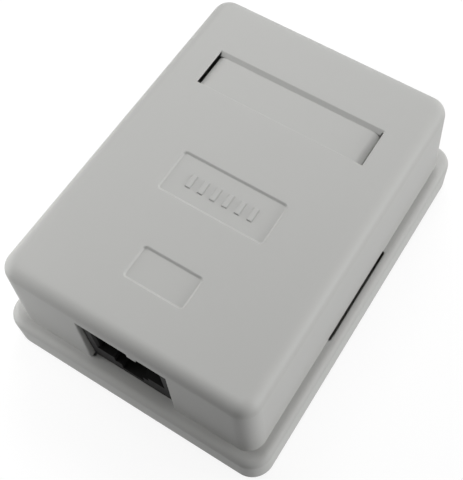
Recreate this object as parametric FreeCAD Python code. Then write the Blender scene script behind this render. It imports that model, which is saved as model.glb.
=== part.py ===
"""Surface mount jack box: a drafted snap-on cover over a wall base, with one modular socket on a
circuit board and two insulation displacement blocks behind it.

Millimetres.  +Z is up from the wall side, the socket faces -Y, +X is to the right of someone who
looks into the socket from behind it.  The origin is the middle of the base's underside.
"""
import FreeCAD, Part
import math
import os

# ---------------------------------------------------------------- stack of heights, from the wall up
FLOOR_THICKNESS = 2.4           # base floor
STANDOFF_HEIGHT = 3.2           # board above the floor
BOARD_THICKNESS = 1.6
JACK_HEIGHT = 13.0              # standard eight-way socket body above its board
HEADROOM = 1.8                  # air between the socket body and the cover's roof
ROOF_THICKNESS = 2.0
RIM_HEIGHT = 7.0                # top of the base's rim, where the cover's side begins to show

# ---------------------------------------------------------------- box walls
COVER_WALL = 2.0
COVER_DRAFT_DEG = 1.7           # mould draft of the cover's sides
COVER_CORNER_R = 3.0            # upright corners of the cover
COVER_TOP_FILLET = 2.2          # rounding between the cover's sides and its top
CAVITY_CORNER_R = 1.2
LAP_STEP = 0.7                  # shoulder from the cover's face in to its spigot
LAP_CLEARANCE = 0.25            # round the spigot inside the rim
SPIGOT_LIFT = 0.3               # spigot's lower edge above the floor
LEDGE_WIDTH = 1.9               # rim outside the cover's face, at the rim's top
BASE_CORNER_R = 3.6
RIM_TOP_FILLET = 1.3
BASE_FOOT_CHAMFER = 0.4
PORT_EDGE_FILLET = 0.25         # rounded front edges of the socket's window
SILL_CLEARANCE = 0.4            # beside the sill that closes the window's foot

# ---------------------------------------------------------------- circuit board
BOARD_WIDTH = 34.0
BOARD_FRONT_GAP = 0.3           # board to the cover's front wall
BOARD_SIDE_GAP = 1.6            # board to the snap tongues
BOARD_REAR_MARGIN = 4.6         # board behind the terminal blocks, for the rear pegs
BOARD_CORNER_R = 1.0
WIRING_LENGTH = 19.6            # free length behind the board for the cable's pairs
PEG_DIAMETER = 1.9
PEG_CLEARANCE = 0.1             # round each peg in its hole in the board
PEG_HEAD_DIAMETER = 3.2
PEG_HEAD_HEIGHT = 0.7
STANDOFF_DIAMETER = 4.2
PEG_SIDE_MARGIN = 3.0           # peg axis to the board's long edge
PEG_END_MARGIN = 2.3            # rear peg axis to the board's rear edge
FRONT_PEG_MARGIN = 4.3          # front peg axis to the board's front edge

# ---------------------------------------------------------------- socket
JACK_WIDTH = 15.2
JACK_DEPTH = 16.0
JACK_SETBACK = 0.9              # socket face behind the cover's face at the rim
PORT_CLEARANCE = 0.2            # window round the socket body
SOCKET_WIDTH = 11.7             # plug body
SOCKET_HEIGHT = 6.8
SOCKET_ROOF = 1.7               # wall over the plug
SOCKET_DEPTH = 12.4
SOCKET_EDGE_CHAMFER = 0.35      # lead-in round the mouth
LATCH_WIDTH = 6.2               # wide part of the latch way under the plug
LATCH_STEP = 1.4                # height of that wide part
LATCH_NECK_WIDTH = 3.9          # narrow neck that the latch snaps behind
LATCH_NECK_HEIGHT = 1.8
LATCH_PLATE = 1.6               # front wall that holds the neck
JACK_SIDE_RELIEF = 0.4          # step in the socket body's sides behind its face
JACK_FACE_DEPTH = 3.0           # length of the full-width face block
JACK_PEG_DIAMETER = 3.0
JACK_PEG_SPACING = 11.4
JACK_PEG_SETBACK = 8.5          # peg axis behind the socket's face
JACK_PEG_LENGTH = 2.0

# ---------------------------------------------------------------- contact wires and their insert
CONTACT_COUNT = 8
CONTACT_PITCH = 1.02
CONTACT_SIZE = 0.4              # square wire
CONTACT_SLACK = 0.05            # round a wire where it passes through another piece
CONTACT_CHANNEL = 0.7           # height of the way for the wires over the plug
CHANNEL_SIDE = 0.2              # beside the outer wires in that way
FRONT_LIP = 1.4                 # wall in front of the wires' bends
LIP_CLEARANCE = 0.4             # from that wall to the bends
CONTACT_DROP = 2.4              # free tips below the cavity's roof
CONTACT_REACH = 8.6             # from the front bend back to the free tip
TAIL_ROW_SPACING = 1.5
TAIL_REAR_MARGIN = 1.0          # rear row of tails to the insert's rear face
TAIL_LENGTH = 1.2               # under the board
TAIL_HOLE_CLEARANCE = 0.12
INSERT_DEPTH = 3.5
INSERT_WIDTH = 12.2
INSERT_CLEARANCE = 0.1
INSERT_ROOF = 1.0               # socket wall over the insert

# ---------------------------------------------------------------- insulation displacement blocks
IDC_WAYS = 4
IDC_PITCH = 4.0
IDC_END_WALL = 0.2
IDC_WIDTH = 8.0
IDC_HEIGHT = 12.3
IDC_GAP = 1.7                   # socket body to the blocks
IDC_EDGE_MARGIN = 1.5           # blocks to the board's long edges
IDC_PARTITION = 0.9             # plastic between two terminal pockets
WIRE_SLOT_WIDTH = 1.2
WIRE_SLOT_DEPTH = 7.0
WIRE_SLOT_MOUTH = 0.7           # lead-in at the top of each wire slot
TERMINAL_THICKNESS = 0.5
TERMINAL_SLACK = 0.05
TERMINAL_COVER = 0.9            # plastic over a terminal's top
TERMINAL_SLIT_WIDTH = 0.35
TERMINAL_SLIT_DEPTH = 6.0
TERMINAL_TAIL_WIDTH = 0.8
TERMINAL_TAIL_LENGTH = 0.9      # under the board

# ---------------------------------------------------------------- snaps, cable ways and fixings
TONGUE_THICKNESS = 1.1
TONGUE_WIDTH = 6.0
TONGUE_HEIGHT = 4.0
TONGUE_OFFSET = 16.0            # from the middle of the box along Y
NOSE_PROJECTION = 0.3
NOSE_HEIGHT = 1.2
NOSE_LEVEL = 2.1                # underside of the nose above the floor
TONGUE_CLEARANCE = 0.3          # nose to the cover's wall
POCKET_DEPTH = 0.6              # in the cover's wall, facing the nose
POCKET_MARGIN = 0.4             # round the nose
PRY_LENGTH = 18.0               # slot at the cover's foot for a screwdriver
PRY_WIDTH = 0.36                # of that slot in the rim, outside the cover's face
PRY_HEIGHT = 0.3                # of its upper part, in the cover's foot
PRY_END_R = 0.24
CABLE_WIDTH = 9.0               # rear cable way
CABLE_HEIGHT = 7.1
CABLE_CORNER_R = 2.5
FLOOR_HOLE_DIAMETER = 8.0       # for a cable out of the wall
SCREW_HOLE_DIAMETER = 4.0
SCREW_SPACING = 28.0
SCREW_BOSS_DIAMETER = 8.0
SCREW_BOSS_HEIGHT = 0.8
ANCHOR_GAP = 1.2                # board to the cable tie anchor
ANCHOR_LENGTH = 2.0
ANCHOR_LEG = 2.0
ANCHOR_CLEAR_WIDTH = 5.2
ANCHOR_CLEAR_HEIGHT = 3.0
ANCHOR_BRIDGE = 1.6

# ---------------------------------------------------------------- marks on the cover's top
LABEL_SIDE_MARGIN = 7.1         # cover's face at the rim to the recess's end
LABEL_REAR_MARGIN = 11.1
LABEL_LENGTH = 7.3
LABEL_DEPTH = 0.5
LABEL_REAR_SLOPE = 0.75         # run of the recess's sloped rear wall
LABEL_FRONT_SLOPE = 0.25        # and of its front wall
LABEL_SKIN = 0.3                # plastic over the slots at the recess's ends
LABEL_SLOT_REACH = 1.1          # slots under that skin
LABEL_SLOT_INSET = 0.25         # the same slots in the recess's floor
LABEL_RAMP_LENGTH = 1.5         # that floor rolls down to each slot
LABEL_RAMP_DROP = 0.8
RECESS_EDGE_FILLET = 0.15       # round the top edges of the recesses
MARK_GAP = 11.7                 # label recess to the marking panel
MARK_WIDTH = 18.8
MARK_LENGTH = 7.7
MARK_DEPTH = 0.3
MARK_CORNER_R = 0.7
ICON_GAP = 8.7                  # marking panel to the icon panel
ICON_WIDTH = 10.5
ICON_LENGTH = 5.7
BAR_COUNT = 6                   # plain raised bars in the marking panel
BAR_PITCH = 2.2
BAR_WIDTH = 0.9
BAR_LENGTH = 2.3
BAR_HEIGHT = 0.15
BAR_REAR_MARGIN = 2.9           # bars to the panel's rear edge
NIB_OFFSET = 1.95               # moulding nib under the window's upper edge
NIB_WIDTH = 1.5
NIB_DROP = 0.8
NIB_THICKNESS = 0.4

# ---------------------------------------------------------------- pad, liner and label
PAD_RECESS_DEPTH = 1.1
PAD_SIDE_MARGIN = 6.2           # base's edge to the recess
PAD_LENGTH = 38.0
PAD_FRONT_MARGIN = 6.5
PAD_THICKNESS = 0.9
PAD_CLEARANCE = 0.3
LINER_THICKNESS = 0.1
CODE_LABEL_THICKNESS = 0.15
CODE_LABEL_SIDE_GAP = 2.0       # from the blocks
CODE_LABEL_LENGTH = 13.0
CODE_LABEL_FRONT_GAP = 0.6

OVERCUT = 1.0                   # tools for cuts run this far past the faces they open

# ---------------------------------------------------------------- levels and places worked out
draft = math.tan(math.radians(COVER_DRAFT_DEG))
floor_top = FLOOR_THICKNESS
board_bottom = floor_top + STANDOFF_HEIGHT
board_top = board_bottom + BOARD_THICKNESS
jack_top = board_top + JACK_HEIGHT
ceiling = jack_top + HEADROOM
box_top = ceiling + ROOF_THICKNESS

cavity_half_x = (BOARD_WIDTH / 2 + BOARD_SIDE_GAP + TONGUE_THICKNESS + NOSE_PROJECTION
                 + TONGUE_CLEARANCE)
overlap_y = BOARD_FRONT_GAP + COVER_WALL - JACK_SETBACK     # socket in front of the board
idc_length = IDC_WAYS * IDC_PITCH + 2 * IDC_END_WALL
board_length = JACK_DEPTH - overlap_y + IDC_GAP + idc_length + BOARD_REAR_MARGIN
cavity_half_y = (BOARD_FRONT_GAP + board_length + WIRING_LENGTH) / 2

cover_half_x = cavity_half_x + COVER_WALL                   # cover's face at the rim
cover_half_y = cavity_half_y + COVER_WALL
base_half_x = cover_half_x + LEDGE_WIDTH
base_half_y = cover_half_y + LEDGE_WIDTH
spigot_half_x = cover_half_x - LAP_STEP
spigot_half_y = cover_half_y - LAP_STEP
spigot_corner_r = COVER_CORNER_R - LAP_STEP
pocket_half_x = spigot_half_x + LAP_CLEARANCE               # rim's inner faces
pocket_half_y = spigot_half_y + LAP_CLEARANCE
rim_wall = base_half_x - pocket_half_x

board_front = -cavity_half_y + BOARD_FRONT_GAP
board_rear = board_front + board_length
jack_front = -cover_half_y + JACK_SETBACK
jack_rear = jack_front + JACK_DEPTH
idc_front = jack_rear + IDC_GAP
idc_outer = BOARD_WIDTH / 2 - IDC_EDGE_MARGIN
idc_inner = idc_outer - IDC_WIDTH
idc_top = board_top + IDC_HEIGHT
anchor_front = board_rear + ANCHOR_GAP
wiring_middle = (anchor_front + ANCHOR_LENGTH + cavity_half_y) / 2

socket_top = jack_top - SOCKET_ROOF
socket_bottom = socket_top - SOCKET_HEIGHT
insert_front = jack_rear - INSERT_DEPTH
insert_top = jack_top - INSERT_ROOF
channel_top = socket_top + CONTACT_CHANNEL
wire_level = socket_top + CONTACT_CHANNEL / 2

tongue_inner = BOARD_WIDTH / 2 + BOARD_SIDE_GAP
tongue_outer = tongue_inner + TONGUE_THICKNESS

label_half_x = cover_half_x - LABEL_SIDE_MARGIN
label_rear = cover_half_y - LABEL_REAR_MARGIN
label_front = label_rear - LABEL_LENGTH
mark_rear = label_front - MARK_GAP
mark_front = mark_rear - MARK_LENGTH
icon_rear = mark_front - ICON_GAP
icon_front = icon_rear - ICON_LENGTH

peg_x = BOARD_WIDTH / 2 - PEG_SIDE_MARGIN
peg_places = [(side * peg_x, y) for side in (-1, 1)
              for y in (board_front + FRONT_PEG_MARGIN, board_rear - PEG_END_MARGIN)]
jack_peg_places = [(side * JACK_PEG_SPACING / 2, jack_front + JACK_PEG_SETBACK)
                   for side in (-1, 1)]


# ---------------------------------------------------------------- small tools
def block(x0, x1, y0, y1, z0, z1):
    """A box between two corners."""
    return Part.makeBox(x1 - x0, y1 - y0, z1 - z0, FreeCAD.Vector(x0, y0, z0))


def post(x, y, z0, z1, diameter):
    """An upright round post."""
    return Part.makeCylinder(diameter / 2, z1 - z0, FreeCAD.Vector(x, y, z0))


def is_upright(edge):
    """True for an edge that climbs from one level to another."""
    return edge.BoundBox.ZLength > edge.BoundBox.XLength + edge.BoundBox.YLength


def rounded_block(x0, x1, y0, y1, z0, z1, radius):
    """A box with its four upright edges rounded."""
    solid = block(x0, x1, y0, y1, z0, z1)
    return solid.makeFillet(radius, [edge for edge in solid.Edges if is_upright(edge)])


def drafted_block(half_x, half_y, z0, z1, level, radius):
    """A block whose sides lean in by the draft, with half_x and half_y measured at one level."""
    low = draft * (level - z0)
    high = draft * (level - z1)
    solid = Part.makeWedge(-half_x - low, 0, -half_y - low, -half_y - high, -half_x - high,
                           half_x + low, z1 - z0, half_y + low, half_y + high, half_x + high)
    solid.rotate(FreeCAD.Vector(0, 0, 0), FreeCAD.Vector(1, 0, 0), 90)
    solid.translate(FreeCAD.Vector(0, 0, z0))
    return solid.makeFillet(radius, [edge for edge in solid.Edges if is_upright(edge)])


def edges_at(solid, level):
    """Edges that lie wholly in one horizontal plane."""
    slack = 1e-4
    return [edge for edge in solid.Edges
            if abs(edge.BoundBox.ZMin - level) < slack and abs(edge.BoundBox.ZMax - level) < slack]


def prism_along_x(points, x0, x1):
    """A closed outline of (y, z) points pulled along X."""
    corners = [FreeCAD.Vector(x0, y, z) for y, z in points]
    outline = Part.makePolygon(corners + corners[:1])
    return Part.Face(outline).extrude(FreeCAD.Vector(x1 - x0, 0, 0))


def prism_along_y(points, y0, y1):
    """A closed outline of (x, z) points pulled along Y."""
    corners = [FreeCAD.Vector(x, y0, z) for x, z in points]
    outline = Part.makePolygon(corners + corners[:1])
    return Part.Face(outline).extrude(FreeCAD.Vector(0, y1 - y0, 0))


def joined(shapes):
    """One solid from several that touch or overlap."""
    return shapes[0].multiFuse(shapes[1:]).removeSplitter()


# ---------------------------------------------------------------- base
def base_tray():
    """Floor and rim, rounded at the rim's top, slotted for prying and broken at the cable way."""
    tray = rounded_block(-base_half_x, base_half_x, -base_half_y, base_half_y, 0, RIM_HEIGHT,
                         BASE_CORNER_R)
    tray = tray.makeChamfer(BASE_FOOT_CHAMFER, edges_at(tray, 0))
    top_fillet = min(RIM_TOP_FILLET, LEDGE_WIDTH - PRY_WIDTH)
    tray = tray.makeFillet(top_fillet, edges_at(tray, RIM_HEIGHT))
    pocket = rounded_block(-pocket_half_x, pocket_half_x, -pocket_half_y, pocket_half_y,
                           floor_top, RIM_HEIGHT + OVERCUT, spigot_corner_r + LAP_CLEARANCE)
    slot_half = cover_half_x + PRY_WIDTH
    pry_slots = rounded_block(-slot_half, slot_half, -PRY_LENGTH / 2, PRY_LENGTH / 2, floor_top,
                              RIM_HEIGHT + OVERCUT, PRY_END_R)
    cable_way = block(-CABLE_WIDTH / 2, CABLE_WIDTH / 2, cavity_half_y, base_half_y + OVERCUT,
                      floor_top, RIM_HEIGHT + OVERCUT)
    return tray.cut(pocket).cut(pry_slots).cut(cable_way)


def port_sill():
    """A block on the floor that closes the foot of the socket's window, inside the rim."""
    half = JACK_WIDTH / 2 + PORT_CLEARANCE - SILL_CLEARANCE
    return block(-half, half, -pocket_half_y - OVERCUT, -cavity_half_y, floor_top - OVERCUT,
                 RIM_HEIGHT)


def snap_tongue(side, y):
    """A tongue inside the cover's wall, with a nose that points at the wall's pocket."""
    nose_low = floor_top + NOSE_LEVEL
    outline = [(tongue_inner, floor_top - OVERCUT), (tongue_outer, floor_top - OVERCUT),
               (tongue_outer, nose_low), (tongue_outer + NOSE_PROJECTION, nose_low),
               (tongue_outer + NOSE_PROJECTION, nose_low + NOSE_HEIGHT / 2),
               (tongue_outer, nose_low + NOSE_HEIGHT), (tongue_outer, floor_top + TONGUE_HEIGHT),
               (tongue_inner, floor_top + TONGUE_HEIGHT)]
    return prism_along_y([(side * x, z) for x, z in outline], y - TONGUE_WIDTH / 2,
                         y + TONGUE_WIDTH / 2)


def tie_anchor():
    """A low bridge on the floor that a cable tie is threaded through."""
    half = ANCHOR_CLEAR_WIDTH / 2
    top = floor_top + ANCHOR_CLEAR_HEIGHT + ANCHOR_BRIDGE
    arch = block(-half - ANCHOR_LEG, half + ANCHOR_LEG, anchor_front,
                 anchor_front + ANCHOR_LENGTH, floor_top - OVERCUT, top)
    clear = block(-half, half, anchor_front - OVERCUT, anchor_front + ANCHOR_LENGTH + OVERCUT,
                  floor_top, floor_top + ANCHOR_CLEAR_HEIGHT)
    return arch.cut(clear)


def make_base():
    """Tray with sill, board posts, snap tongues, tie anchor, screw bosses and pad recess."""
    pieces = [base_tray(), port_sill(), tie_anchor()]
    for x, y in peg_places:
        pieces.append(post(x, y, floor_top - OVERCUT, board_bottom, STANDOFF_DIAMETER))
        pieces.append(post(x, y, floor_top, board_top + PEG_HEAD_HEIGHT, PEG_DIAMETER))
        pieces.append(post(x, y, board_top, board_top + PEG_HEAD_HEIGHT, PEG_HEAD_DIAMETER))
    for side in (-1, 1):
        pieces.append(post(side * SCREW_SPACING / 2, wiring_middle, floor_top - OVERCUT,
                           floor_top + SCREW_BOSS_HEIGHT, SCREW_BOSS_DIAMETER))
        for end in (-1, 1):
            pieces.append(snap_tongue(side, end * TONGUE_OFFSET))
    base = joined(pieces)
    for side in (-1, 1):
        base = base.cut(post(side * SCREW_SPACING / 2, wiring_middle, -OVERCUT,
                             floor_top + SCREW_BOSS_HEIGHT + OVERCUT, SCREW_HOLE_DIAMETER))
    base = base.cut(post(0, wiring_middle, -OVERCUT, floor_top + OVERCUT, FLOOR_HOLE_DIAMETER))
    return base.cut(pad_space(0, -OVERCUT, PAD_RECESS_DEPTH))


# ---------------------------------------------------------------- pad and liner under the base
def pad_space(margin, z0, z1):
    """The pad's outline, drawn in by a margin, between two levels."""
    half = base_half_x - PAD_SIDE_MARGIN - margin
    front = -base_half_y + PAD_FRONT_MARGIN
    return rounded_block(-half, half, front + margin, front + PAD_LENGTH - margin, z0, z1,
                         BOARD_CORNER_R)


def make_pad():
    """Foam pad stuck in the recess of the base's underside."""
    return pad_space(PAD_CLEARANCE, PAD_RECESS_DEPTH - PAD_THICKNESS, PAD_RECESS_DEPTH)


def make_liner():
    """Release liner over the pad's wall side, still clear of what the base stands on."""
    pad_bottom = PAD_RECESS_DEPTH - PAD_THICKNESS
    return pad_space(PAD_CLEARANCE, pad_bottom - LINER_THICKNESS, pad_bottom)


# ---------------------------------------------------------------- cover
def cover_shell():
    """Drafted shell on a straight spigot, open below, with its top edge rounded."""
    shell = drafted_block(cover_half_x, cover_half_y, RIM_HEIGHT, box_top, RIM_HEIGHT,
                          COVER_CORNER_R)
    shell = shell.makeFillet(COVER_TOP_FILLET, edges_at(shell, box_top))
    spigot = rounded_block(-spigot_half_x, spigot_half_x, -spigot_half_y, spigot_half_y,
                           floor_top + SPIGOT_LIFT, RIM_HEIGHT + OVERCUT, spigot_corner_r)
    shell = joined([shell, spigot])
    cavity = drafted_block(cavity_half_x, cavity_half_y, floor_top - OVERCUT, ceiling,
                           RIM_HEIGHT, CAVITY_CORNER_R)
    return shell.cut(cavity)


def port_window():
    """The window that drops over the socket, open below."""
    half = JACK_WIDTH / 2 + PORT_CLEARANCE
    return block(-half, half, -base_half_y, -cavity_half_y + CAVITY_CORNER_R,
                 floor_top - OVERCUT, jack_top + PORT_CLEARANCE)


def window_front_edges(shell):
    """The window's two upright front edges and its upper front edge."""
    half = JACK_WIDTH / 2 + PORT_CLEARANCE
    top = jack_top + PORT_CLEARANCE
    mid_wall = -cavity_half_y - COVER_WALL / 2
    slack = 1e-3
    found = []
    for edge in shell.Edges:
        box, middle = edge.BoundBox, edge.CenterOfMass
        at_side = abs(abs(middle.x) - half) < slack and box.ZLength > SOCKET_HEIGHT
        at_top = abs(middle.z - top) < slack and box.XLength > half
        if box.YMax < mid_wall and (at_side or at_top):
            found.append(edge)
    return found


def cable_arch():
    """The rear cable way in the cover, with rounded upper corners."""
    top = floor_top + CABLE_HEIGHT
    arch = block(-CABLE_WIDTH / 2, CABLE_WIDTH / 2, cavity_half_y - CAVITY_CORNER_R, base_half_y,
                 floor_top - OVERCUT, top)
    upper = [edge for edge in edges_at(arch, top) if edge.BoundBox.YLength > edge.BoundBox.XLength]
    return arch.makeFillet(CABLE_CORNER_R, upper)


def snap_pocket(side, y):
    """A shallow pocket in the cover's inner wall that faces a snap nose."""
    half = TONGUE_WIDTH / 2 + POCKET_MARGIN
    nose_low = floor_top + NOSE_LEVEL
    wall = cavity_half_x + draft * (RIM_HEIGHT - nose_low)
    x_ends = sorted((side * tongue_outer, side * (wall + POCKET_DEPTH)))
    return block(x_ends[0], x_ends[1], y - half, y + half, nose_low - POCKET_MARGIN,
                 nose_low + NOSE_HEIGHT + POCKET_MARGIN)


def top_recesses():
    """The recesses on top: one for a printed strip and two shallow panels, with sloped walls."""
    floor, over = box_top - LABEL_DEPTH, box_top + OVERCUT
    strip = [(label_front, over), (label_front, box_top), (label_front + LABEL_FRONT_SLOPE, floor),
             (label_rear - LABEL_REAR_SLOPE, floor), (label_rear, box_top), (label_rear, over)]
    recesses = [prism_along_x(strip, -label_half_x, label_half_x)]
    for width, front, rear in ((MARK_WIDTH, mark_front, mark_rear),
                               (ICON_WIDTH, icon_front, icon_rear)):
        level = box_top - MARK_DEPTH
        panel = rounded_block(-width / 2, width / 2, front, rear, level, over, MARK_CORNER_R)
        recesses.append(panel.makeChamfer(MARK_DEPTH, edges_at(panel, level)))
    return recesses


def recess_edges(shell):
    """The recesses' edges in the top face, all well inside the cover's outline."""
    return [edge for edge in edges_at(shell, box_top)
            if max(abs(edge.BoundBox.XMin), abs(edge.BoundBox.XMax)) < cavity_half_x - OVERCUT
            and max(abs(edge.BoundBox.YMin), abs(edge.BoundBox.YMax)) < cavity_half_y - OVERCUT]


def label_slot(side):
    """A slot at one end of the label recess: under the skin, into the floor, open inside."""
    x_ends = sorted((side * (label_half_x - LABEL_SLOT_INSET),
                     side * (label_half_x + LABEL_SLOT_REACH)))
    return block(x_ends[0], x_ends[1], label_front, label_rear, ceiling - OVERCUT,
                 box_top - LABEL_SKIN)


def label_ramp(side):
    """A hollow over the label recess's floor, which rolls down to the slot at one end."""
    floor = box_top - LABEL_DEPTH
    front, rear = label_front + LABEL_FRONT_SLOPE, label_rear - LABEL_REAR_SLOPE
    start = side * (label_half_x - LABEL_RAMP_LENGTH)
    x_ends = sorted((start, side * label_half_x))
    hollow = block(x_ends[0], x_ends[1], front, rear, floor - LABEL_RAMP_DROP, floor)
    radius = (LABEL_RAMP_LENGTH ** 2 + LABEL_RAMP_DROP ** 2) / (2 * LABEL_RAMP_DROP)
    rolled_floor = Part.makeCylinder(radius, rear - front, FreeCAD.Vector(start, front, floor - radius),
                                     FreeCAD.Vector(0, 1, 0))
    return hollow.cut(rolled_floor)


def make_cover():
    """Shell with its window, cable way, pry notches, snap pockets and the recesses on top."""
    cover = cover_shell().cut(port_window())
    cover = cover.makeFillet(PORT_EDGE_FILLET, window_front_edges(cover))
    for recess in top_recesses():
        cover = cover.cut(recess)
    cover = cover.makeFillet(RECESS_EDGE_FILLET, recess_edges(cover))
    cuts = [cable_arch()]
    for side in (-1, 1):
        cuts += [label_slot(side), label_ramp(side)]
        x_ends = sorted((side * (cavity_half_x - OVERCUT), side * (base_half_x + OVERCUT)))
        cuts.append(block(x_ends[0], x_ends[1], -PRY_LENGTH / 2, PRY_LENGTH / 2,
                          floor_top - OVERCUT, RIM_HEIGHT + PRY_HEIGHT))
        for end in (-1, 1):
            cuts.append(snap_pocket(side, end * TONGUE_OFFSET))
    for cut in cuts:
        cover = cover.cut(cut)
    return joined([cover, window_nib()] + marking_bars())


def window_nib():
    """A small moulding nib that hangs from the window's upper edge, in front of the socket."""
    low = jack_top + PORT_CLEARANCE - NIB_DROP
    face_y = -cover_half_y + draft * (jack_top + PORT_CLEARANCE + PORT_EDGE_FILLET - RIM_HEIGHT)
    return block(NIB_OFFSET - NIB_WIDTH / 2, NIB_OFFSET + NIB_WIDTH / 2, face_y,
                 face_y + NIB_THICKNESS, low, jack_top + PORT_CLEARANCE + OVERCUT)


def marking_bars():
    """A row of plain raised bars in the marking panel."""
    first = -(BAR_COUNT - 1) * BAR_PITCH / 2
    rear = mark_rear - BAR_REAR_MARGIN
    floor = box_top - MARK_DEPTH
    bars = []
    for index in range(BAR_COUNT):
        x = first + index * BAR_PITCH
        bars.append(block(x - BAR_WIDTH / 2, x + BAR_WIDTH / 2, rear - BAR_LENGTH, rear,
                          floor - BAR_HEIGHT, floor + BAR_HEIGHT))
    return bars


# ---------------------------------------------------------------- contact wires
def contact_x(index):
    """Place of a contact wire across the socket, counted from 0."""
    return (index - (CONTACT_COUNT - 1) / 2) * CONTACT_PITCH


def tail_y(index):
    """Place of a wire's tail: even and odd wires stand in two rows."""
    return jack_rear - TAIL_REAR_MARGIN - (index % 2) * TAIL_ROW_SPACING


def wire_run(x, start, end):
    """One straight run of square wire with rounded ends, between two (y, z) points."""
    half = CONTACT_SIZE / 2
    along = FreeCAD.Vector(0, end[0] - start[0], end[1] - start[1])
    across = FreeCAD.Vector(0, -along.z, along.y).normalize() * half
    a = FreeCAD.Vector(x - half, start[0], start[1])
    b = a + along
    outline = Part.makePolygon([a + across, b + across, b - across, a - across, a + across])
    run = Part.Face(outline).extrude(FreeCAD.Vector(CONTACT_SIZE, 0, 0))
    ends = [Part.makeCylinder(half, CONTACT_SIZE, place, FreeCAD.Vector(1, 0, 0))
            for place in (a, b)]
    return joined([run] + ends)


def make_contact(index):
    """A spring wire: tail through the board, up the insert, forward over the plug and back down."""
    x = contact_x(index)
    y = tail_y(index)
    bend = (jack_front + FRONT_LIP + LIP_CLEARANCE + CONTACT_SIZE / 2, wire_level)
    tip = (bend[0] + CONTACT_REACH, socket_top - CONTACT_DROP + CONTACT_SIZE / 2)
    places = [(y, board_bottom - TAIL_LENGTH), (y, wire_level), bend, tip]
    return joined([wire_run(x, a, b) for a, b in zip(places, places[1:])])


# ---------------------------------------------------------------- socket body and insert
def make_jack_housing():
    """Socket body: plug cavity, latch way, wire way, rear space for the insert and two pegs."""
    half = JACK_WIDTH / 2
    body = block(-half, half, jack_front, jack_rear, board_top, jack_top)
    relief_front = jack_front + JACK_FACE_DEPTH
    cuts = [block(side * half - JACK_SIDE_RELIEF, side * half + JACK_SIDE_RELIEF, relief_front,
                  jack_rear + OVERCUT, board_top - OVERCUT, jack_top + OVERCUT)
            for side in (-1, 1)]
    mouth = jack_front - OVERCUT
    cuts.append(block(-SOCKET_WIDTH / 2, SOCKET_WIDTH / 2, mouth, jack_front + SOCKET_DEPTH,
                      socket_bottom, socket_top))
    step = socket_bottom - LATCH_STEP
    neck = step - LATCH_NECK_HEIGHT
    cuts.append(block(-LATCH_WIDTH / 2, LATCH_WIDTH / 2, mouth, jack_front + SOCKET_DEPTH,
                      step, socket_bottom + OVERCUT))
    cuts.append(block(-LATCH_NECK_WIDTH / 2, LATCH_NECK_WIDTH / 2, mouth,
                      jack_front + SOCKET_DEPTH, neck, socket_bottom))
    cuts.append(block(-LATCH_WIDTH / 2, LATCH_WIDTH / 2, jack_front + LATCH_PLATE,
                      jack_front + SOCKET_DEPTH, neck, socket_bottom))
    wires_half = (CONTACT_COUNT - 1) * CONTACT_PITCH / 2 + CONTACT_SIZE / 2 + CHANNEL_SIDE
    cuts.append(block(-wires_half, wires_half, jack_front + FRONT_LIP, jack_rear + OVERCUT,
                      socket_top - OVERCUT, channel_top))
    space_half = INSERT_WIDTH / 2 + INSERT_CLEARANCE
    cuts.append(block(-space_half, space_half, insert_front - INSERT_CLEARANCE,
                      jack_rear + OVERCUT, board_top - OVERCUT, insert_top + INSERT_CLEARANCE))
    cuts.append(mouth_chamfer())
    for cut in cuts:
        body = body.cut(cut)
    pegs = [post(x, y, board_top - JACK_PEG_LENGTH, board_top, JACK_PEG_DIAMETER)
            for x, y in jack_peg_places]
    return joined([body] + pegs)


def mouth_chamfer():
    """The lead-in round the plug cavity's mouth: a pyramid stub that narrows inwards."""
    half, lead = SOCKET_WIDTH / 2, SOCKET_EDGE_CHAMFER
    corners_out = [(-half - lead, socket_bottom), (half + lead, socket_bottom),
                   (half + lead, socket_top + lead), (-half - lead, socket_top + lead)]
    corners_in = [(-half, socket_bottom), (half, socket_bottom), (half, socket_top),
                  (-half, socket_top)]
    wires = []
    for corners, y in ((corners_out, jack_front), (corners_in, jack_front + lead)):
        points = [FreeCAD.Vector(x, y, z) for x, z in corners]
        wires.append(Part.makePolygon(points + points[:1]))
    return Part.makeLoft(wires, True, True)


def make_jack_insert():
    """Carrier behind the plug cavity that holds the wires' upright runs."""
    half = INSERT_WIDTH / 2
    insert = block(-half, half, insert_front, jack_rear, board_top, insert_top)
    wire_half = CONTACT_SIZE / 2 + CONTACT_SLACK
    groove_bottom = wire_level - wire_half
    for index in range(CONTACT_COUNT):
        x, y = contact_x(index), tail_y(index)
        insert = insert.cut(block(x - wire_half, x + wire_half, y - wire_half, y + wire_half,
                                  board_top - OVERCUT, insert_top + OVERCUT))
        insert = insert.cut(block(x - wire_half, x + wire_half, insert_front - OVERCUT,
                                  y + wire_half, groove_bottom, insert_top + OVERCUT))
    return insert


# ---------------------------------------------------------------- terminal blocks
def idc_middle(side):
    """Middle of a terminal block across the box."""
    return side * (idc_outer + idc_inner) / 2


def way_y(way):
    """Middle of one wire way along a terminal block, counted from 0 at the socket's end."""
    return idc_front + IDC_END_WALL + (way + 0.5) * IDC_PITCH


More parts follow.
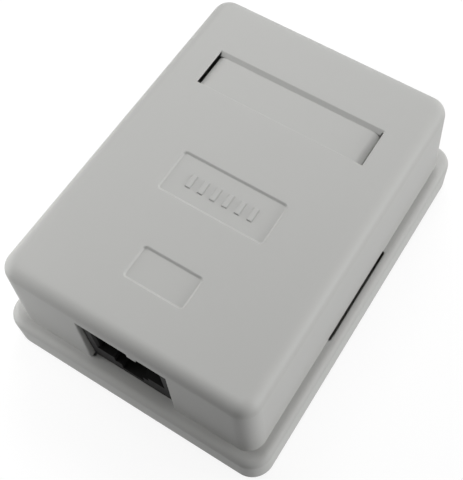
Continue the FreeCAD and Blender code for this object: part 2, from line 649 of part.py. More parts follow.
def make_idc_block(side):
    """Terminal block with four flared wire slots across it and a pocket under each."""
    middle = idc_middle(side)
    body = block(middle - IDC_WIDTH / 2, middle + IDC_WIDTH / 2, idc_front,
                 idc_front + idc_length, board_top, idc_top)
    half_pocket = (IDC_PITCH - IDC_PARTITION) / 2
    half_thick = TERMINAL_THICKNESS / 2 + TERMINAL_SLACK
    x0, x1 = middle - IDC_WIDTH / 2 - OVERCUT, middle + IDC_WIDTH / 2 + OVERCUT
    for way in range(IDC_WAYS):
        y = way_y(way)
        half, flared = WIRE_SLOT_WIDTH / 2, WIRE_SLOT_WIDTH / 2 + WIRE_SLOT_MOUTH
        low, flare_low = idc_top - WIRE_SLOT_DEPTH, idc_top - WIRE_SLOT_MOUTH
        slot = [(y - half, low), (y + half, low), (y + half, flare_low), (y + flared, idc_top),
                (y + flared, idc_top + OVERCUT), (y - flared, idc_top + OVERCUT),
                (y - flared, idc_top), (y - half, flare_low)]
        body = body.cut(prism_along_x(slot, x0, x1))
        body = body.cut(block(middle - half_thick, middle + half_thick, y - half_pocket,
                              y + half_pocket, board_top - OVERCUT, idc_top - TERMINAL_COVER))
    return body


def make_terminal(side, way):
    """Fork blade that grips a wire in its slit, with a tail through the board."""
    x, y = idc_middle(side), way_y(way)
    half_thick = TERMINAL_THICKNESS / 2
    half_width = (IDC_PITCH - IDC_PARTITION) / 2 - TERMINAL_SLACK
    top = idc_top - TERMINAL_COVER - TERMINAL_SLACK
    blade = block(x - half_thick, x + half_thick, y - half_width, y + half_width, board_top, top)
    half_slit = TERMINAL_SLIT_WIDTH / 2
    throat = half_width / 2
    slit = [(y - half_slit, top - TERMINAL_SLIT_DEPTH), (y + half_slit, top - TERMINAL_SLIT_DEPTH),
            (y + half_slit, top - throat), (y + throat, top), (y + throat, top + OVERCUT),
            (y - throat, top + OVERCUT), (y - throat, top), (y - half_slit, top - throat)]
    blade = blade.cut(prism_along_x(slit, x - OVERCUT, x + OVERCUT))
    half_tail = TERMINAL_TAIL_WIDTH / 2
    tail = block(x - half_thick, x + half_thick, y - half_tail, y + half_tail,
                 board_bottom - TERMINAL_TAIL_LENGTH, board_top)
    return joined([blade, tail])


# ---------------------------------------------------------------- board and code label
def make_board():
    """Circuit board with holes for the base's pegs, the socket's pegs and every tail."""
    board = rounded_block(-BOARD_WIDTH / 2, BOARD_WIDTH / 2, board_front, board_rear,
                          board_bottom, board_top, BOARD_CORNER_R)
    holes = [(x, y, PEG_DIAMETER + 2 * PEG_CLEARANCE) for x, y in peg_places]
    holes += [(x, y, JACK_PEG_DIAMETER + 2 * PEG_CLEARANCE) for x, y in jack_peg_places]
    wire_across = math.hypot(CONTACT_SIZE, CONTACT_SIZE) + 2 * TAIL_HOLE_CLEARANCE
    holes += [(contact_x(index), tail_y(index), wire_across) for index in range(CONTACT_COUNT)]
    tail_across = math.hypot(TERMINAL_TAIL_WIDTH, TERMINAL_THICKNESS) + 2 * TAIL_HOLE_CLEARANCE
    holes += [(idc_middle(side), way_y(way), tail_across)
              for side in (-1, 1) for way in range(IDC_WAYS)]
    for x, y, diameter in holes:
        board = board.cut(post(x, y, board_bottom - OVERCUT, board_top + OVERCUT, diameter))
    return board


def make_code_label():
    """Paper label between the blocks that shows which colour goes where."""
    half = idc_inner - CODE_LABEL_SIDE_GAP
    front = idc_front + CODE_LABEL_FRONT_GAP
    return block(-half, half, front, front + CODE_LABEL_LENGTH, board_top,
                 board_top + CODE_LABEL_THICKNESS)


# ---------------------------------------------------------------- all pieces
def all_pieces():
    """Every piece by the name of its node."""
    pieces = {
        "base": make_base(),
        "cover": make_cover(),
        "circuit_board": make_board(),
        "jack_housing": make_jack_housing(),
        "jack_insert": make_jack_insert(),
        "idc_block_left": make_idc_block(-1),
        "idc_block_right": make_idc_block(1),
        "colour_code_label": make_code_label(),
        "adhesive_pad": make_pad(),
        "release_liner": make_liner(),
    }
    for index in range(CONTACT_COUNT):
        pieces["contact_%d" % (index + 1)] = make_contact(index)
    for order, side in enumerate((-1, 1)):
        for way in range(IDC_WAYS):
            number = order * IDC_WAYS + way + 1
            pieces["idc_terminal_%d" % number] = make_terminal(side, way)
    return pieces


os.makedirs("parts", exist_ok=True)
for name, piece in all_pieces().items():
    piece.exportStep(os.path.join("parts", name + ".step"))
    box = piece.BoundBox
    print("%-20s solids %d valid %s volume %9.3f  x %.2f..%.2f y %.2f..%.2f z %.2f..%.2f" % (
        name, len(piece.Solids), piece.isValid(), piece.Volume, box.XMin, box.XMax, box.YMin,
        box.YMax, box.ZMin, box.ZMax))
print("box %.2f x %.2f x %.2f, rim wall %.2f" % (2 * base_half_x, 2 * base_half_y, box_top,
                                                   rim_wall))
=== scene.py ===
"""Surface mount jack box: finishes, the board's copper lines and a studio stage.

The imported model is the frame: its pieces stay where they are and get their finishes here.  All
lengths are metres, with +Z away from the wall and the socket's mouth towards -Y.
"""

import math

import bpy
import numpy as np
from mathutils import Matrix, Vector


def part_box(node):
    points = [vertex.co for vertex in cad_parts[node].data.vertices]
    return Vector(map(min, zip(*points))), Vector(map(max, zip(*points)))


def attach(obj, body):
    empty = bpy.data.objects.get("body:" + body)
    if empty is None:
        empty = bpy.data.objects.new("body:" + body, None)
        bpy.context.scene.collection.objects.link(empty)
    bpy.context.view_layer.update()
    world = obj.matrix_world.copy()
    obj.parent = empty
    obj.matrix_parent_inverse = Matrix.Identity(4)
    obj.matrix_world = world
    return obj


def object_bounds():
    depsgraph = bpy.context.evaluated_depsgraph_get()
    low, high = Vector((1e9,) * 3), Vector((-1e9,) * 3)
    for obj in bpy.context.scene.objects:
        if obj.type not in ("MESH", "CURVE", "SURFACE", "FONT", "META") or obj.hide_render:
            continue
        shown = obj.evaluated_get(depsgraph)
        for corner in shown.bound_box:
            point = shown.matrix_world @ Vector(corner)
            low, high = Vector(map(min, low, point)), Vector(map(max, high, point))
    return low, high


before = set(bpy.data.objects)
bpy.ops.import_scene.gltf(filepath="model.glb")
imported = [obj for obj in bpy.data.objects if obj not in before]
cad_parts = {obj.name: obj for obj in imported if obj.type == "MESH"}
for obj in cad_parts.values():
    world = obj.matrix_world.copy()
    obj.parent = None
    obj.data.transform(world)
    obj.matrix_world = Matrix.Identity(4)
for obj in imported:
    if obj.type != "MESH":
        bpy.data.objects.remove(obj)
cad_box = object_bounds()

bl_info = {
    "name": "Surface mount jack box",
    "version": (1, 0, 0),
    "blender": (4, 5, 0),
    "location": "View3D > Sidebar > Jack Box",
    "description": "Finishes and stage for a small wall box with one modular socket",
    "category": "Object",
}

MM = 0.001
WAYS = 8  # contact wires in the socket, and terminals in the two blocks
WHITE = (1.0, 1.0, 1.0, 1.0)


# ---------------------------------------------------------------- places taken from the frame
def span(node, axis):
    """Lowest and highest place of a node along one axis."""
    low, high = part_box(node)
    return low[axis], high[axis]


def middle_of(node, axis):
    """Middle of a node's box along one axis."""
    low, high = span(node, axis)
    return (low + high) / 2


board_low, board_high = span("circuit_board", 2)
board_x = span("circuit_board", 0)
board_y = span("circuit_board", 1)
label_x = span("colour_code_label", 0)
label_y = span("colour_code_label", 1)
block_inner = span("idc_block_right", 0)[0]
block_front = span("idc_block_right", 1)[0]
jack_rear = span("jack_housing", 1)[1]


# ---------------------------------------------------------------- settings
class JackBoxSettings(bpy.types.PropertyGroup):
    """Colours, textures, copper lines, light levels and lens that a user would change."""
    shell_colour: bpy.props.FloatVectorProperty(
        name="Shell colour", description="Moulded plastic of the base and the cover",
        subtype="COLOR", size=3, min=0, max=1, default=(0.505, 0.506, 0.493))
    shell_roughness: bpy.props.FloatProperty(
        name="Shell roughness", description="Satin of the shell, from gloss to matt",
        subtype="FACTOR", min=0, max=1, default=0.46)
    shell_shine: bpy.props.FloatProperty(
        name="Shell shine", description="How strongly the shell mirrors the room",
        subtype="FACTOR", min=0, max=1, default=0.15)
    grain_size: bpy.props.FloatProperty(
        name="Grain size", description="Width of the fine mould grain on the shell",
        unit="LENGTH", min=0, default=0.25 * MM)
    grain_depth: bpy.props.FloatProperty(
        name="Grain depth", description="Height of the fine mould grain on the shell",
        unit="LENGTH", min=0, default=0.0015 * MM)
    edge_rounding: bpy.props.FloatProperty(
        name="Edge rounding", description="Radius that sharp moulded edges seem to have",
        unit="LENGTH", min=0, default=0.22 * MM)
    socket_colour: bpy.props.FloatVectorProperty(
        name="Socket colour", description="Plastic of the socket body and its insert",
        subtype="COLOR", size=3, min=0, max=1, default=(0.024, 0.024, 0.024))
    socket_roughness: bpy.props.FloatProperty(
        name="Socket roughness", description="Sheen of the socket plastic",
        subtype="FACTOR", min=0, max=1, default=0.5)
    socket_shine: bpy.props.FloatProperty(
        name="Socket shine", description="How strongly the socket plastic mirrors the room",
        subtype="FACTOR", min=0, max=1, default=0.03)
    block_colour: bpy.props.FloatVectorProperty(
        name="Block colour", description="Plastic of the terminal blocks",
        subtype="COLOR", size=3, min=0, max=1, default=(0.72, 0.72, 0.69))
    mask_colour: bpy.props.FloatVectorProperty(
        name="Solder mask colour", description="Lacquer over the bare laminate",
        subtype="COLOR", size=3, min=0, max=1, default=(0.012, 0.105, 0.045))
    copper_colour: bpy.props.FloatVectorProperty(
        name="Covered copper colour", description="Lacquer where copper lies under it",
        subtype="COLOR", size=3, min=0, max=1, default=(0.030, 0.215, 0.075))
    edge_colour: bpy.props.FloatVectorProperty(
        name="Laminate edge colour", description="Cut edge of the board and of its holes",
        subtype="COLOR", size=3, min=0, max=1, default=(0.36, 0.33, 0.15))
    line_width: bpy.props.FloatProperty(
        name="Copper line width", description="Width of the board's copper lines",
        unit="LENGTH", min=0, default=0.24 * MM)
    line_height: bpy.props.FloatProperty(
        name="Copper line height", description="How far a lacquered line stands up",
        unit="LENGTH", min=0, default=0.03 * MM)
    gold_colour: bpy.props.FloatVectorProperty(
        name="Gold colour", description="Plating of the contact wires",
        subtype="COLOR", size=3, min=0, max=1, default=(0.83, 0.62, 0.27))
    tin_colour: bpy.props.FloatVectorProperty(
        name="Tin colour", description="Plating of the terminals",
        subtype="COLOR", size=3, min=0, max=1, default=(0.70, 0.70, 0.68))
    paper_colour: bpy.props.FloatVectorProperty(
        name="Label colour", description="Paper of the label between the blocks",
        subtype="COLOR", size=3, min=0, max=1, default=(0.85, 0.85, 0.83))
    foam_colour: bpy.props.FloatVectorProperty(
        name="Foam colour", description="Sticky pad under the base",
        subtype="COLOR", size=3, min=0, max=1, default=(0.60, 0.60, 0.57))
    liner_colour: bpy.props.FloatVectorProperty(
        name="Liner colour", description="Waxed paper over the sticky pad",
        subtype="COLOR", size=3, min=0, max=1, default=(0.80, 0.70, 0.42))
    floor_colour: bpy.props.FloatVectorProperty(
        name="Floor colour", description="Paper that the box lies on, as it is seen",
        subtype="COLOR", size=3, min=0, max=1, default=(0.90, 0.90, 0.90))
    floor_bounce: bpy.props.FloatProperty(
        name="Floor bounce", description="How much light the floor throws back up at the box",
        subtype="FACTOR", min=0, max=1, default=0.1)
    floor_glow: bpy.props.FloatProperty(
        name="Floor glow", description="Brightness that the camera sees in the floor's paper",
        min=0, default=1.06)
    back_power: bpy.props.FloatProperty(
        name="Back lamp", description="Soft lamp above and behind the box",
        unit="POWER", min=0, default=0.606)
    top_power: bpy.props.FloatProperty(
        name="Top lamp", description="Broad soft lamp over the box",
        unit="POWER", min=0, default=0.231)
    side_power: bpy.props.FloatProperty(
        name="Side lamp", description="Broad low lamp far to the box's right",
        unit="POWER", min=0, default=3.84)
    low_power: bpy.props.FloatProperty(
        name="Low lamp", description="Small low lamp to the right, a little behind",
        unit="POWER", min=0, default=0.72)
    left_power: bpy.props.FloatProperty(
        name="Left lamp", description="Small soft lamp close to the box's left",
        unit="POWER", min=0, default=0.075)
    corner_power: bpy.props.FloatProperty(
        name="Corner lamp", description="Faint small lamp by the box's front left corner",
        unit="POWER", min=0, default=0.0245)
    room_level: bpy.props.FloatProperty(
        name="Room light", description="Strength of the even light from all round",
        min=0, default=0.1)
    lens: bpy.props.FloatProperty(
        name="Lens", description="Focal length of the camera",
        unit="CAMERA", min=1, default=67.6265)


def settings():
    """The settings of the open scene."""
    return bpy.context.scene.jack_box


# ---------------------------------------------------------------- shader maths
class Value:
    """A number socket: operators on it add the Math nodes that work them out."""

    def __init__(self, finish, socket):
        self.finish, self.socket = finish, socket

    def _math(self, operation, *values):
        sockets = dict(enumerate(values))
        return self.finish.add("ShaderNodeMath", {"operation": operation}, sockets)

    def __add__(self, other):
        return self._math("ADD", self, other)

    __radd__ = __add__

    def __sub__(self, other):
        return self._math("SUBTRACT", self, other)

    def __rsub__(self, other):
        return self._math("SUBTRACT", other, self)

    def __mul__(self, other):
        return self._math("MULTIPLY", self, other)

    __rmul__ = __mul__

    def __truediv__(self, other):
        return self._math("DIVIDE", self, other)

    def __abs__(self):
        return self._math("ABSOLUTE", self)

    def __lt__(self, other):
        return self._math("LESS_THAN", self, other)

    def __gt__(self, other):
        return self._math("GREATER_THAN", self, other)

    def low(self, other):
        return self._math("MINIMUM", self, other)

    def root(self):
        return self._math("SQRT", self)

    def fraction(self):
        return self._math("FRACT", self)

    def swayed(self, middle, change):
        """A number that swings by a change about its middle as this one goes from 0 to 1."""
        return self * change + (middle - change / 2)


class Finish:
    """The nodes of one material, or of the room's light."""
    OBJECT = 3  # Texture Coordinate's output for Object coordinates
    FACTOR, FIRST, SECOND, RESULT = 0, 6, 7, 2  # Mix's sockets where it mixes colours

    def __init__(self, name, room=False):
        self.material = (bpy.data.worlds if room else bpy.data.materials).new(name)
        self.material.use_nodes = True
        self.tree = self.material.node_tree
        self.tree.nodes.clear()

    def add(self, kind, setup=None, sockets=None, output=0):
        """A node of one kind: its settings first, then values or links of its sockets."""
        node = self.tree.nodes.new(kind)
        for key, value in (setup or {}).items():
            if key == "stops":
                self._set_stops(node.color_ramp, value)
            else:
                setattr(node, key, value)
        for key, value in (sockets or {}).items():
            if isinstance(value, Value):
                self.tree.links.new(value.socket, node.inputs[key])
            else:
                node.inputs[key].default_value = value
        return Value(self, node.outputs[output]) if node.outputs else None

    @staticmethod
    def _set_stops(ramp, stops):
        """Gives a ramp its stops, each colour held as far as the next one."""
        ramp.interpolation = "CONSTANT"
        while len(ramp.elements) < len(stops):
            ramp.elements.new(0.5)
        for element, (place, colour) in zip(ramp.elements, stops):
            element.position, element.color = place, colour

    def mix(self, factor, first, second):
        """A colour between two others."""
        sockets = {self.FACTOR: factor, self.FIRST: first, self.SECOND: second}
        return self.add("ShaderNodeMix", {"data_type": "RGBA"}, sockets, output=self.RESULT)

    def place(self, scale, stretch=(1.0, 1.0, 1.0)):
        """Object coordinates, with one unit as long as the scale says."""
        coordinates = self.add("ShaderNodeTexCoord", output=self.OBJECT)
        size = tuple(part / scale for part in stretch)
        return self.add("ShaderNodeMapping", {}, {"Vector": coordinates, "Scale": size})

    def xyz(self):
        """Object coordinates as three numbers, in metres."""
        coordinates = self.add("ShaderNodeTexCoord", output=self.OBJECT)
        split = self.add("ShaderNodeSeparateXYZ", {}, {"Vector": coordinates})
        return [Value(self, socket) for socket in split.socket.node.outputs]

    def noise(self, size, detail=2.0, stretch=(1.0, 1.0, 1.0)):
        """Cloudy noise between 0 and 1, with lumps of about one size."""
        return self.add("ShaderNodeTexNoise", {}, {"Vector": self.place(size, stretch),
                                                   "Scale": 1.0, "Detail": detail})

    def edge_normal(self, radius):
        """The surface's normal, turned near sharp edges as if they were rounded."""
        return self.add("ShaderNodeBevel", {"samples": 6}, {"Radius": radius})

    def bump(self, height, depth, normal=None):
        """A normal for a height map: one unit of its height is as deep as asked."""
        sockets = {"Height": height, "Distance": depth, "Strength": 1.0}
        if normal is not None:
            sockets["Normal"] = normal
        return self.add("ShaderNodeBump", {}, sockets)

    def seen(self):
        """One for what the camera sees, straight or in gloss or glass, and nought elsewhere."""
        outputs = self.add("ShaderNodeLightPath").socket.node.outputs
        rays = [Value(self, outputs["Is %s Ray" % kind])
                for kind in ("Camera", "Glossy", "Transmission")]
        return (rays[0] + rays[1] + rays[2]).low(1.0)

    def wave(self, size, direction):
        """Soft bands across one direction, about a third of the size apart."""
        return self.add("ShaderNodeTexWave", {"bands_direction": direction},
                        {"Vector": self.place(size), "Scale": 1.0})

    def surface(self, **sockets):
        """Finishes the material with a Principled shader."""
        named = {key.replace("_", " "): value for key, value in sockets.items()}
        shader = self.add("ShaderNodeBsdfPrincipled", {}, named)
        self.add("ShaderNodeOutputMaterial", {}, {"Surface": shader})
        return self.material


def opaque(colour):
    """A colour with its fourth part."""
    return (*colour, 1.0)


def shaded(colour, factor):
    """A colour made darker or lighter by one factor."""
    return opaque(part * factor for part in colour)


def numbered(stem):
    """The names of a row of like nodes, one for each way."""
    return ["%s_%d" % (stem, number) for number in range(1, WAYS + 1)]


def give(material, nodes):
    """Puts one material on all faces of each node."""
    for node in nodes:
        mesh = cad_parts[node].data
        mesh.materials.clear()
        mesh.materials.append(material)


# ---------------------------------------------------------------- finishes
def moulded(name, colour, roughness, grain_size, grain_depth, rounding, drift, shine=0.5):
    """Moulded plastic: fine grain, faint drift of tone and sheen, edges softened."""
    cloud_size, patch_size, patch_change = 14 * MM, 5 * MM, 0.06
    finish = Finish(name)
    clouds = finish.noise(cloud_size, detail=3.0)
    tone = finish.mix(clouds, shaded(colour, 1 - drift), shaded(colour, 1 + drift))
    sheen = finish.noise(patch_size).swayed(roughness, patch_change)
    grain = finish.noise(grain_size)
    normal = finish.bump(grain, grain_depth, finish.edge_normal(rounding))
    return finish.surface(Base_Color=tone, Roughness=sheen, Normal=normal,
                          Specular_IOR_Level=shine)


def plated(name, colour, roughness, stretch):
    """Plated metal with faint drawing lines along the piece."""
    line_size, line_depth, line_change = 0.12 * MM, 0.002 * MM, 0.12
    cloud_size, dark, light = 1.5 * MM, 0.92, 1.04
    finish = Finish(name)
    lines = finish.noise(line_size, detail=3.0, stretch=stretch)
    tone = finish.mix(finish.noise(cloud_size), shaded(colour, dark), shaded(colour, light))
    return finish.surface(Base_Color=tone, Metallic=1.0, Normal=finish.bump(lines, line_depth),
                          Roughness=lines.swayed(roughness, line_change))


def copper_areas(x, y):
    """One on copper, which is beside the socket, ahead of the blocks and clear of the pegs."""
    lane_gap, block_gap, edge_gap = 0.6 * MM, 1.2 * MM, 0.7 * MM
    peg_x, peg_y, peg_clear = board_x[1] - 3 * MM, board_y[0] + 4.3 * MM, 2.3 * MM
    beside = (abs(x) > block_inner + lane_gap) * (abs(x) < board_x[1] - edge_gap)
    ahead = (y < block_front - block_gap) * (y > board_y[0] + edge_gap)
    across, along = abs(x) - peg_x, y - peg_y
    off_peg = (across * across + along * along).root() > peg_clear
    return beside * ahead * off_peg


def laminate(options):
    """Board: lacquer over glass cloth, lighter over copper areas, and a cut edge."""
    cloth_size, cloth_share, cloth_light = 2.2 * MM, 0.12, 1.5
    skin, relief, copper_rise = 0.02 * MM, 0.01 * MM, 2.0
    lacquer_roughness, cut_roughness = 0.25, 0.7
    finish = Finish("board_lacquer")
    x, y, z = finish.xyz()
    copper = copper_areas(x, y)
    weave = finish.wave(cloth_size, "X") * finish.wave(cloth_size, "Y")
    lacquer = finish.mix(copper, opaque(options.mask_colour), opaque(options.copper_colour))
    lacquer = finish.mix(weave * cloth_share, lacquer, shaded(options.copper_colour, cloth_light))
    cut = (z < board_high - skin) * (z > board_low + skin)
    tone = finish.mix(cut, lacquer, opaque(options.edge_colour))
    roughness = cut * (cut_roughness - lacquer_roughness) + lacquer_roughness
    return finish.surface(Base_Color=tone, Roughness=roughness,
                          Normal=finish.bump(weave + copper * copper_rise, relief))


def covered_copper(options):
    """Lacquer over a copper line."""
    dark, light = 0.9, 1.15
    cloud_size, patch_size, grain_size, grain_depth = 0.8 * MM, 0.5 * MM, 0.1 * MM, 0.003 * MM
    finish = Finish("lacquered_copper")
    tone = finish.mix(finish.noise(cloud_size), shaded(options.copper_colour, dark),
                      shaded(options.copper_colour, light))
    sheen = finish.noise(patch_size).swayed(0.24, change=0.08)
    return finish.surface(Base_Color=tone, Roughness=sheen,
                          Normal=finish.bump(finish.noise(grain_size), grain_depth))


PAIR_COLOURS = ((0.75, 0.24, 0.03), (0.04, 0.30, 0.08), (0.03, 0.12, 0.42),
                (0.16, 0.07, 0.03))


def printed_label(options):
    """Coated paper with four rows of colour fields, banded with white towards the label's sides.

    A row's fields are centred in its pitch.  Their halves along the label are shares of that
    pitch, and their limits across it are shares of the label's half width.
    """
    field_half, band_half = 0.34, 0.12
    gap_share, band_share, edge_share, edge_margin = 0.14, 0.55, 0.04, 0.3 * MM
    fibre_size, fibre_depth, fibre_dark = 0.2 * MM, 0.004 * MM, 0.94
    finish = Finish("printed_label")
    x, y, _ = finish.xyz()
    rows = len(PAIR_COLOURS)
    pitch = (label_y[1] - label_y[0]) / rows
    half = (label_x[1] - label_x[0]) / 2
    row = (y - label_y[0]) / pitch
    stops = [(index / rows, opaque(colour)) for index, colour in enumerate(PAIR_COLOURS)]
    colours = finish.add("ShaderNodeValToRGB", {"stops": stops}, {"Fac": row / rows})
    off_centre = abs(row.fraction() - 0.5)
    field = (off_centre < field_half) * (abs(x) > gap_share * half)
    field = field * (abs(x) < (1 - edge_share) * half - edge_margin)
    banded = (abs(x) > band_share * half) * (off_centre < band_half)
    fibres = finish.noise(fibre_size, detail=4.0)
    paper = finish.mix(fibres, shaded(options.paper_colour, fibre_dark),
                       opaque(options.paper_colour))
    tone = finish.mix(field * (1 - banded), paper, colours)
    return finish.surface(Base_Color=tone, Roughness=fibres.swayed(0.55, change=0.1),
                          Normal=finish.bump(fibres, fibre_depth))


def foam(options):
    """Closed-cell foam: small round cells in its skin."""
    cell_size, cell_depth, cell_dark = 0.35 * MM, 0.05 * MM, 0.8
    finish = Finish("pad_foam")
    cells = finish.add("ShaderNodeTexVoronoi", {}, {"Vector": finish.place(cell_size),
                                                    "Scale": 1.0})
    tone = finish.mix(cells, shaded(options.foam_colour, cell_dark), opaque(options.foam_colour))
    return finish.surface(Base_Color=tone, Roughness=cells.swayed(0.85, change=0.1),
                          Normal=finish.bump(cells, cell_depth))


def waxed_paper(options):
    """Release liner: long fibres under a waxy sheen."""
    fibre_size, fibre_depth, fibre_share = 0.4 * MM, 0.006 * MM, 0.6
    cloud_size, dark, light = 6 * MM, 0.86, 1.05
    finish = Finish("waxed_paper")
    fibres = finish.noise(fibre_size, detail=5.0, stretch=(1.0, 0.25, 1.0))
    clouds = finish.noise(cloud_size)
    mottle = fibres * fibre_share + clouds * (1 - fibre_share)
    tone = finish.mix(mottle, shaded(options.liner_colour, dark),
                      shaded(options.liner_colour, light))
    return finish.surface(Base_Color=tone, Roughness=clouds.swayed(0.38, change=0.12),
                          Normal=finish.bump(fibres, fibre_depth))


# ---------------------------------------------------------------- the board's copper lines
def line_mesh(path, width, low, high):
    """A ribbon with sloped sides carried along a flat path.

    Each point of the path is pushed sideways along its mitre, by half the ribbon's width at the
    foot and by less at the top.  The mitre is the mean of the directions before and after the
    point, turned a quarter and lengthened by one over the cosine of half the bend.
    """
    path = np.asarray(path, float)
    steps = np.diff(path, axis=0)
    steps /= np.linalg.norm(steps, axis=1)[:, None]
    before = np.vstack([steps[:1], steps])
    after = np.vstack([steps, steps[-1:]])
    mean = before + after
    mean /= np.linalg.norm(mean, axis=1)[:, None]
    sideways = np.stack([-mean[:, 1], mean[:, 0]], axis=1) / (mean * after).sum(1)[:, None]
    foot, shoulder = 0.5 * width, 0.38 * width
    across = np.array([-foot, -shoulder, shoulder, foot])
    corners = len(across)
    grid = np.zeros((len(path), corners, 3))
    grid[:, :, :2] = path[:, None] + sideways[:, None] * across[None, :, None]
    grid[:, :, 2] = (low, high, high, low)
    row = np.arange(len(path) - 1)[:, None] * corners
    column = np.arange(corners)[None]
    after_column = (column + 1) % corners
    sides = np.stack([row + column, row + after_column, row + corners + after_column,
                      row + corners + column], axis=2).reshape(-1, corners)
    last = (len(path) - 1) * corners
    ends = np.stack([np.arange(corners)[::-1], last + np.arange(corners)])
    return grid.reshape(-1, 3), np.vstack([sides, ends])


def line_paths():
    """Centre lines from each contact wire's tail to its terminal.

    Every line leaves its tail, steps out in its own row behind the socket, runs down its own lane
    beside the label and turns under the block to its terminal.  The outer wires take the near
    terminals, so no two lines cross.
    """
    pitch, turn = 0.42 * MM, 0.25 * MM
    tail_inset, wall_gap = 0.2 * MM, 0.3 * MM
    paths = []
    for side, contacts, terminals in ((-1, (1, 2, 3, 4), (1, 2, 3, 4)),
                                      (1, (8, 7, 6, 5), (5, 6, 7, 8))):
        for order, (contact, terminal) in enumerate(zip(contacts, terminals)):
            x = middle_of("contact_%d" % contact, 0)
            tail = span("contact_%d" % contact, 1)[1] - tail_inset
            lane = side * (block_inner - wall_gap - order * pitch)
            row = jack_rear + wall_gap + order * pitch
            end_x = middle_of("idc_terminal_%d" % terminal, 0)
            end_y = middle_of("idc_terminal_%d" % terminal, 1)
            paths.append([(x, tail), (x, row - turn), (x + side * turn, row),
                          (lane - side * turn, row), (lane, row + turn), (lane, end_y - turn),
                          (lane + side * turn, end_y), (end_x, end_y)])
    return paths


def closed_piece(name, parts, material, body):
    """One flat-shaded object from several vertex and face arrays, riding on a body."""
    starts = np.cumsum([0] + [len(points) for points, _ in parts[:-1]])
    points = np.vstack([points for points, _ in parts])
    faces = np.vstack([faces + start for (_, faces), start in zip(parts, starts)])
    mesh = bpy.data.meshes.new(name)
    mesh.from_pydata(points.tolist(), [], faces.tolist())
    mesh.validate()
    piece = bpy.data.objects.new(name, mesh)
    bpy.context.scene.collection.objects.link(piece)
    mesh.materials.append(material)
    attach(piece, body)


# ---------------------------------------------------------------- operators
class JACKBOX_OT_shell(bpy.types.Operator):
    """Gives the base and the cover their satin moulded plastic"""
    bl_idname = "jackbox.shell"
    bl_label = "Shell"

    def execute(self, context):
        options = settings()
        plastic = moulded("shell_satin", options.shell_colour, options.shell_roughness,
                          options.grain_size, options.grain_depth, options.edge_rounding,
                          drift=0.008, shine=options.shell_shine)
        give(plastic, ["base", "cover"])
        return {"FINISHED"}


class JACKBOX_OT_socket(bpy.types.Operator):
    """Gives the socket body and insert black plastic, and the contact wires gold"""
    bl_idname = "jackbox.socket"
    bl_label = "Socket"

    def execute(self, context):
        options = settings()
        plastic = moulded("socket_black", options.socket_colour, options.socket_roughness,
                          grain_size=0.3 * MM, grain_depth=0.003 * MM, rounding=0.06 * MM,
                          drift=0.1, shine=options.socket_shine)
        give(plastic, ["jack_housing", "jack_insert"])
        gold = plated("contact_gold", options.gold_colour, roughness=0.26,
                      stretch=(1.0, 0.1, 0.1))
        give(gold, numbered("contact"))
        return {"FINISHED"}


class JACKBOX_OT_terminals(bpy.types.Operator):
    """Gives the terminal blocks white plastic and their blades tin"""
    bl_idname = "jackbox.terminals"
    bl_label = "Terminal blocks"

    def execute(self, context):
        options = settings()
        plastic = moulded("block_natural", options.block_colour, roughness=0.42,
                          grain_size=0.3 * MM, grain_depth=0.003 * MM, rounding=0.08 * MM,
                          drift=0.015)
        give(plastic, ["idc_block_left", "idc_block_right"])
        tin = plated("terminal_tin", options.tin_colour, roughness=0.36, stretch=(1.0, 1.0, 0.1))
        give(tin, numbered("idc_terminal"))
        return {"FINISHED"}


class JACKBOX_OT_board(bpy.types.Operator):
    """Gives the board its lacquer and lays its copper lines"""
    bl_idname = "jackbox.board"
    bl_label = "Circuit board"

    def execute(self, context):
        options = settings()
        give(laminate(options), ["circuit_board"])
        low, high = board_high - options.line_height, board_high + options.line_height
        parts = [line_mesh(path, options.line_width, low, high) for path in line_paths()]
        closed_piece("copper_lines", parts, covered_copper(options), "base")
        return {"FINISHED"}


class JACKBOX_OT_papers(bpy.types.Operator):
    """Gives the label, the foam pad and its liner their finishes"""
    bl_idname = "jackbox.papers"
    bl_label = "Label, pad and liner"

    def execute(self, context):
        options = settings()
        give(printed_label(options), ["colour_code_label"])
        give(foam(options), ["adhesive_pad"])
        give(waxed_paper(options), ["release_liner"])
        return {"FINISHED"}


# ---------------------------------------------------------------- stage
# Angles are in degrees and lengths in metres.  Each lamp: azimuth, elevation, distance, width.
LAMPS = {"back": (195, 50, 0.35, 0.22), "top": (180, 75, 0.35, 0.30),
         "side": (93, 12, 1.00, 0.40), "low": (113, 12, 0.50, 0.12),
         "left": (285, 32, 0.16, 0.08), "corner": (315, 15, 0.10, 0.04)}

CAMERA_PLACE = (42.718 * MM, -54.163 * MM, 141.796 * MM)
CAMERA_AZIMUTH, CAMERA_ELEVATION, CAMERA_ROLL = 31.321539, 61.135737, -0.015002
NEAR_LIMIT = 10 * MM
# The shift is in shares of the picture's longer side, and the sensor is in millimetres.
CAMERA_SHIFT = (-0.12155, -0.0831)
SENSOR_WIDTH = 36.0

# How far the floor reaches from the box, and how much of its bright look is glow.
FLOOR_REACH = 1.5
GLOW_SHARE = 0.82


def around(azimuth, elevation, distance):
    """A place around the box: azimuth from -Y towards +X and elevation, both in degrees."""
    turn, rise = math.radians(azimuth), math.radians(elevation)
    return (distance * math.cos(rise) * math.sin(turn),
            -distance * math.cos(rise) * math.cos(turn), distance * math.sin(rise))


def looking(place, away):
    """The transform of a lamp or camera at a place, level, with its back turned one way.

    Its X axis is the cross product of up and away, which keeps it level, and its Y axis is the
    cross product of away and that.
    """
    away = np.array(away) / np.linalg.norm(away)
    across = np.cross((0.0, 0.0, 1.0), away)
    across /= np.linalg.norm(across)
    turned = Matrix(np.column_stack([across, np.cross(away, across), away]).tolist()).to_4x4()
    turned.translation = place
    return turned


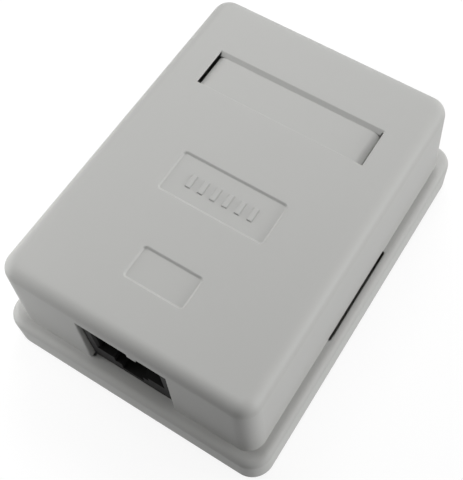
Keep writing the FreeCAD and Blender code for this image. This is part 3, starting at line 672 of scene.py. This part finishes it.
def area_lamp(name, place, target, width, power):
    """A soft square lamp at one place, turned towards another and not seen itself."""
    light = bpy.data.lights.new(name, "AREA")
    light.size, light.energy = width, power
    lamp = bpy.data.objects.new(name, light)
    lamp.visible_camera = False
    lamp.matrix_world = looking(place, np.array(place) - np.array(target))
    bpy.context.scene.collection.objects.link(lamp)


def floor_paper(options):
    """White paper that still takes the box's shadow but looks bright to the camera."""
    fibre_size, fibre_dark = 2 * MM, 0.99
    finish = Finish("floor_paper")
    fibres = finish.noise(fibre_size, detail=3.0)
    tone = finish.mix(fibres, shaded(options.floor_colour, fibre_dark),
                      opaque(options.floor_colour))
    paper = finish.add("ShaderNodeBsdfDiffuse", {}, {"Color": tone})
    glow = finish.add("ShaderNodeEmission", {}, {"Color": WHITE, "Strength": options.floor_glow})
    bright = finish.add("ShaderNodeMixShader", {}, {0: GLOW_SHARE, 1: paper, 2: glow})
    bounce = opaque([options.floor_bounce] * 3)
    dull = finish.add("ShaderNodeBsdfDiffuse", {}, {"Color": bounce})
    shader = finish.add("ShaderNodeMixShader", {}, {0: finish.seen(), 1: dull, 2: bright})
    finish.add("ShaderNodeOutputMaterial", {}, {"Surface": shader})
    return finish.material


def room_light(options):
    """Even white light, weak on the box and white where the room itself is seen."""
    finish = Finish("room", room=True)
    strength = finish.seen() * (1 - options.room_level) + options.room_level
    light = finish.add("ShaderNodeBackground", {}, {"Color": WHITE, "Strength": strength})
    finish.add("ShaderNodeOutputWorld", {}, {"Surface": light})
    return finish.material


def lay_floor(options):
    """A flat square of paper at the height of the box's underside."""
    x, y = np.meshgrid((-FLOOR_REACH, FLOOR_REACH), (-FLOOR_REACH, FLOOR_REACH))
    points = np.stack([x.ravel(), y.ravel(), np.zeros(x.size)], axis=1)
    mesh = bpy.data.meshes.new("floor")
    mesh.from_pydata(points.tolist(), [], [(0, 1, 3, 2)])
    mesh.materials.append(floor_paper(options))
    floor = bpy.data.objects.new("floor", mesh)
    bpy.context.scene.collection.objects.link(floor)


def set_camera(options):
    """The camera, above the box's front right, with its lens shifted off centre."""
    lens = bpy.data.cameras.new("camera")
    lens.lens, lens.sensor_width = options.lens, SENSOR_WIDTH
    lens.shift_x, lens.shift_y = CAMERA_SHIFT
    lens.clip_start = NEAR_LIMIT
    camera = bpy.data.objects.new("camera", lens)
    level = looking(CAMERA_PLACE, around(CAMERA_AZIMUTH, CAMERA_ELEVATION, 1.0))
    camera.matrix_world = level @ Matrix.Rotation(math.radians(CAMERA_ROLL), 4, "Z")
    bpy.context.scene.collection.objects.link(camera)
    bpy.context.scene.camera = camera


class JACKBOX_OT_stage(bpy.types.Operator):
    """Lays the floor and sets the lamps, the room light and the camera"""
    bl_idname = "jackbox.stage"
    bl_label = "Stage"

    def execute(self, context):
        options = settings()
        lay_floor(options)
        context.scene.world = room_light(options)
        middle = [(low + high) / 2 for low, high in zip(*cad_box)]
        for name, (azimuth, elevation, distance, width) in LAMPS.items():
            power = getattr(options, name + "_power")
            area_lamp(name + "_lamp", around(azimuth, elevation, distance), middle, width, power)
        set_camera(options)
        context.scene.view_settings.view_transform = "Standard"
        return {"FINISHED"}


OPERATORS = (JACKBOX_OT_shell, JACKBOX_OT_socket, JACKBOX_OT_terminals, JACKBOX_OT_board,
             JACKBOX_OT_papers, JACKBOX_OT_stage)


class JACKBOX_PT_panel(bpy.types.Panel):
    """Lists the steps that dress the box"""
    bl_idname = "JACKBOX_PT_panel"
    bl_label = "Jack Box"
    bl_space_type = "VIEW_3D"
    bl_region_type = "UI"
    bl_category = "Jack Box"

    def draw(self, context):
        for operator in OPERATORS:
            self.layout.operator(operator.bl_idname)
        options = settings()
        for name in options.bl_rna.properties.keys():
            if name not in ("rna_type", "name"):
                self.layout.prop(options, name)


def register():
    for item in (JackBoxSettings, *OPERATORS, JACKBOX_PT_panel):
        bpy.utils.register_class(item)
    bpy.types.Scene.jack_box = bpy.props.PointerProperty(type=JackBoxSettings)


def unregister():
    del bpy.types.Scene.jack_box
    for item in (JACKBOX_PT_panel, *reversed(OPERATORS), JackBoxSettings):
        bpy.utils.unregister_class(item)


def main():
    register()
    bpy.ops.jackbox.shell()
    bpy.ops.jackbox.socket()
    bpy.ops.jackbox.terminals()
    bpy.ops.jackbox.board()
    bpy.ops.jackbox.papers()
    bpy.ops.jackbox.stage()


if __name__ == "__main__":
    main()
